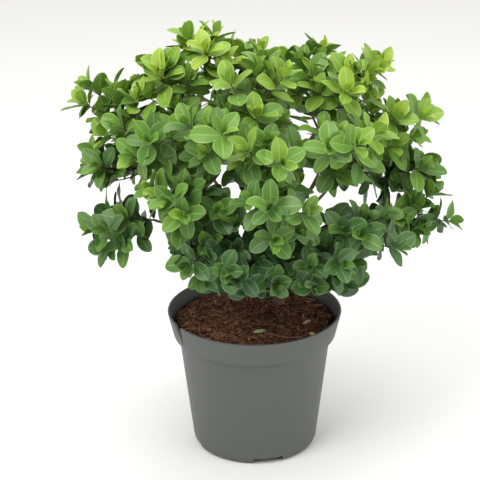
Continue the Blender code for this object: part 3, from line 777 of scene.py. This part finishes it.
def pot_inner_radius(z):
    """Inner wall of the body at height z, up to the step under the lip."""
    rise = (z - BODY_FOOT_HEIGHT) / (LIP_STEP_HEIGHT - BODY_FOOT_HEIGHT)
    return BODY_FOOT_RADIUS + (BODY_TOP_RADIUS - BODY_FOOT_RADIUS) * rise - WALL


def pot_outline():
    """From the middle of the underside up the outside, over the rim and down to the floor."""
    inner_foot = pot_inner_radius(BODY_FOOT_HEIGHT)
    corners = (
        (0.0, 0.0, SHARP),
        (FOOT_RADIUS, 0.0, FOOT_ROUNDING),
        (BODY_FOOT_RADIUS, BODY_FOOT_HEIGHT, BODY_FOOT_ROUNDING),
        (BODY_TOP_RADIUS, LIP_STEP_HEIGHT, STEP_ROUNDING),
        (LIP_UNDER_RADIUS, LIP_UNDER_HEIGHT, LIP_ROUNDING),
        (RIM_RADIUS, RIM_HEIGHT, RIM_ROUNDING),
        (LIP_UNDER_RADIUS - WALL, LIP_UNDER_HEIGHT + LIP_INNER_RISE, SHARP),
        (BODY_TOP_RADIUS - WALL, LIP_STEP_HEIGHT + STEP_INNER_RISE, SHARP),
        (inner_foot, BODY_FOOT_HEIGHT, SHARP),
        (inner_foot - FLOOR_EDGE, FLOOR_THICKNESS, SHARP),
        (0.0, FLOOR_THICKNESS, SHARP),
    )
    return [(r + outwards, z + up) for r, z, rounding in corners for outwards, up in rounding]


def build_pot():
    """Shell of the pot with its drain notches and its torn lip."""
    pot = turned("pot_shell", pot_outline(), POT_STEPS, material(*POT_LOOK))
    cutters = []
    half = DRAIN_NOTCH_WIDTH / 2
    notch_top = [(-half, DRAIN_NOTCH_HEIGHT), (half, DRAIN_NOTCH_HEIGHT)]
    notch = notch_top + [(half, -NOTCH_SPARE), (-half, -NOTCH_SPARE)]
    notch_reaches = (FOOT_RADIUS - NOTCH_SPARE, FOOT_RADIUS + NOTCH_REACH)
    for n in range(DRAIN_NOTCHES):
        angle = DRAIN_FIRST_ANGLE + n * math.tau / DRAIN_NOTCHES
        cutters.append(cut(pot, notch, notch_reaches, angle))
    tear_top = RIM_HEIGHT + TEAR_SPARE
    tear = [(-TEAR_WIDTH / 2, tear_top), (TEAR_WIDTH / 2, tear_top)]
    tear += [(TEAR_WIDTH * across, RIM_HEIGHT - TEAR_DEPTH * down) for across, down in TEAR_OUTLINE]
    tear_reaches = (LIP_UNDER_RADIUS - TEAR_REACH_IN, RIM_RADIUS + TEAR_REACH_OUT)
    cutters.append(cut(pot, tear, tear_reaches, TEAR_ANGLE))
    depsgraph = bpy.context.evaluated_depsgraph_get()
    mesh = bpy.data.meshes.new_from_object(pot.evaluated_get(depsgraph))
    pot.modifiers.clear()
    pot.data = mesh
    for cutter in cutters:
        bpy.data.objects.remove(cutter, do_unlink=True)
    mesh.shade_smooth()
    mesh.set_sharp_from_angle(angle=POT_SHARP_ANGLE)
    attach(pot, "root")
    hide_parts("pot")


def soil_top(x, y):
    """Height of the peat's rough, mounded top."""
    away = math.hypot(x, y) / SOIL_RADIUS
    bump = noise.noise(Vector((x, y, 0.0)) * SOIL_GRAIN) * SOIL_BUMP
    return SOIL_HEIGHT - SOIL_MOUND * max(0.0, away - SOIL_FLAT_SHARE) - SOIL_SINK + bump


def circle_points(radius):
    turns = (k * math.tau / SOIL_STEPS for k in range(SOIL_STEPS))
    return [(radius * math.cos(turn), radius * math.sin(turn)) for turn in turns]


def build_soil():
    """Peat that fills the pot, in rings from the middle of its top out and down the wall."""
    verts = [(0.0, 0.0, soil_top(0.0, 0.0))]
    for r in range(1, SOIL_RINGS + 1):
        verts += [(x, y, soil_top(x, y)) for x, y in circle_points(SOIL_RADIUS * r / SOIL_RINGS)]
    wall = (
        (pot_inner_radius(LIP_STEP_HEIGHT) - SOIL_WALL_GAP, LIP_STEP_HEIGHT),
        (pot_inner_radius(BODY_FOOT_HEIGHT) - SOIL_FOOT_GAP, SOIL_UNDERSIDE),
    )
    for radius, z in wall:
        verts += [(x, y, z) for x, y in circle_points(radius)]
    faces = [(0, 1 + k, 1 + (k + 1) % SOIL_STEPS) for k in range(SOIL_STEPS)]
    last_ring = SOIL_RINGS + len(wall) - 1
    for r in range(last_ring):
        for k in range(SOIL_STEPS):
            a, b = 1 + r * SOIL_STEPS, 1 + (r + 1) * SOIL_STEPS
            j = (k + 1) % SOIL_STEPS
            faces.append((a + k, b + k, b + j, a + j))
    last = 1 + last_ring * SOIL_STEPS
    faces.append(tuple(reversed(range(last, last + SOIL_STEPS))))
    batch = Batch()
    batch.add(verts, faces)
    soil = batch.piece("peat", [material(*PEAT_LOOK)], "bark_mulch")
    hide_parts("soil")


def place_on_soil(rng, reach):
    """A place anywhere within a reach of the pot's axis."""
    radius = reach * math.sqrt(rng.random())
    turn = rng.uniform(0.0, math.tau)
    return radius * math.cos(turn), radius * math.sin(turn)


def chip_corners(rng, x, y):
    """Corners of one chip: a flat splinter with uneven ends, tilted on the peat."""
    length = rng.uniform(*CHIP_LENGTH)
    width = rng.uniform(*CHIP_WIDTH)
    thick = rng.uniform(*CHIP_THICKNESS)
    spin = Matrix.Rotation(rng.uniform(0.0, math.tau), 3, "Z")
    pitch = Matrix.Rotation(rng.gauss(0.0, CHIP_PITCH), 3, "Y")
    tilt = pitch @ Matrix.Rotation(rng.gauss(0.0, CHIP_ROLL), 3, "X")
    centre = Vector((x, y, soil_top(x, y) + rng.uniform(0.0, CHIP_LIFT)))
    corners = []
    for z in (-thick / 2, thick / 2):
        for sx, sy in ((-1, -1), (1, -1), (1, 1), (-1, 1)):
            narrow = rng.uniform(*CHIP_WIDTH_LEFT)
            short = rng.uniform(*CHIP_LENGTH_LEFT)
            corner = Vector((sx * length / 2 * short, sy * width / 2 * narrow, z))
            corners.append(centre + spin @ (tilt @ corner))
    return corners


def fibre_path(rng):
    """Path of one fibre over the peat, ended where it would reach the pot's wall."""
    x, y = place_on_soil(rng, SOIL_RADIUS - FIBRE_START_GAP)
    place = Vector((x, y, 0.0))
    heading = rng.uniform(0.0, math.tau)
    length = rng.uniform(*FIBRE_LENGTH)
    path = []
    for i in range(FIBRE_POINTS):
        heading += rng.gauss(0.0, FIBRE_BEND)
        step = Vector((math.cos(heading), math.sin(heading), 0.0)) * length / (FIBRE_POINTS - 1)
        place = place + step
        if math.hypot(place.x, place.y) > SOIL_RADIUS - FIBRE_RIM_GAP:
            break
        height = soil_top(place.x, place.y) + FIBRE_LIFT + FIBRE_WAVE * math.sin(i)
        path.append(Vector((place.x, place.y, height)))
    return path


def build_mulch():
    """Loose chips and fibres of bark on the peat."""
    rng = random.Random(MULCH_SEED)
    tints = [material(name, colour, MULCH_ROUGHNESS, MULCH_SHINE) for name, colour in MULCH_TINTS]
    chips, fibres = Batch(), Batch()
    for _ in range(CHIPS):
        x, y = place_on_soil(rng, SOIL_RADIUS - CHIP_RIM_GAP)
        if math.hypot(x - TRUNK_FOOT.x, y - TRUNK_FOOT.y) < CHIP_TRUNK_GAP:
            continue
        corners = chip_corners(rng, x, y)
        chips.add(corners, BOX_FACES, rng.choices(range(len(tints)), weights=CHIP_TINT_WEIGHTS)[0])
    for _ in range(FIBRES):
        path = fibre_path(rng)
        if len(path) > 2:
            radius = rng.uniform(*FIBRE_RADIUS)
            fibres.add(*tube(path, [radius] * len(path), FIBRE_SIDES), rng.choice(FIBRE_TINTS))
    chips.piece("bark_chips", tints, "bark_mulch", smooth=False)
    fibres.piece("bark_fibres", tints, "bark_mulch")


def build_strands():
    """Root strands and dry twigs that lie on the mulch."""
    for name, colour, radius, points in STRANDS:
        path = [Vector((x, y, soil_top(x, y) + height)) for x, y, height in points]
        batch = Batch()
        batch.add(*tube(path, [radius] * len(path), STRAND_SIDES))
        batch.piece(name, [material(name, colour, STRAND_ROUGHNESS, STRAND_SHINE)], "bark_mulch")


def build_bits():
    """A fallen leaf, a bit of yellow leaf and a chip that lie on the mulch."""
    count = len(BIT_OUTLINE)
    faces = [tuple(reversed(range(count))), tuple(range(count, 2 * count))]
    faces += [(k, (k + 1) % count, count + (k + 1) % count, count + k) for k in range(count)]
    for name, colour, (x, y), length, width, heading in BITS:
        turn = Matrix.Rotation(heading, 3, "Z")
        verts = []
        for lift in (0.0, BIT_THICKNESS):
            for ahead, across in BIT_OUTLINE:
                flat = turn @ Vector((ahead * length, across * width, 0.0))
                verts.append(Vector((x, y, soil_top(x, y) + BIT_LIFT + lift)) + flat)
        batch = Batch()
        batch.add(verts, faces)
        look = material(name, colour, BIT_ROUGHNESS, BIT_SHINE)
        batch.piece(name, [look], "bark_mulch", smooth=False)


def build_floor():
    bpy.ops.mesh.primitive_plane_add(size=FLOOR_SIZE)
    floor = bpy.context.object
    floor.name = "studio_floor"
    floor.data.materials.append(material(*FLOOR_LOOK))


def build_world():
    world = bpy.data.worlds.new("studio")
    world.use_nodes = True
    background = world.node_tree.nodes["Background"]
    background.inputs["Color"].default_value = WORLD_COLOUR
    background.inputs["Strength"].default_value = WORLD_STRENGTH
    bpy.context.scene.world = world


def build_lights():
    for name, place, size, power in LIGHTS:
        data = bpy.data.lights.new(name, "AREA")
        data.size = size
        data.energy = power
        lamp = bpy.data.objects.new(name, data)
        lamp.location = place
        aim = LIGHT_TARGET - Vector(place)
        lamp.rotation_euler = aim.to_track_quat("-Z", "Y").to_euler()
        bpy.context.scene.collection.objects.link(lamp)


def build_camera():
    data = bpy.data.cameras.new("camera")
    data.sensor_width = SENSOR_MM
    data.lens = SENSOR_MM * CAMERA_FOCAL_PIXELS / FRAME_PIXELS
    camera = bpy.data.objects.new("camera", data)
    pitch = Matrix.Rotation(math.pi / 2 - CAMERA_PITCH, 4, "X")
    turn = pitch @ Matrix.Rotation(-CAMERA_ROLL, 4, "Z")
    camera.matrix_world = Matrix.Translation(CAMERA_PLACE) @ turn
    bpy.context.scene.collection.objects.link(camera)
    bpy.context.scene.camera = camera


bpy.context.scene.view_settings.view_transform = "Standard"
build_pot()
build_soil()
build_mulch()
build_strands()
build_bits()
plant_limbs = build_limbs()
build_foliage(plant_limbs)
build_floor()
build_world()
build_lights()
build_camera()
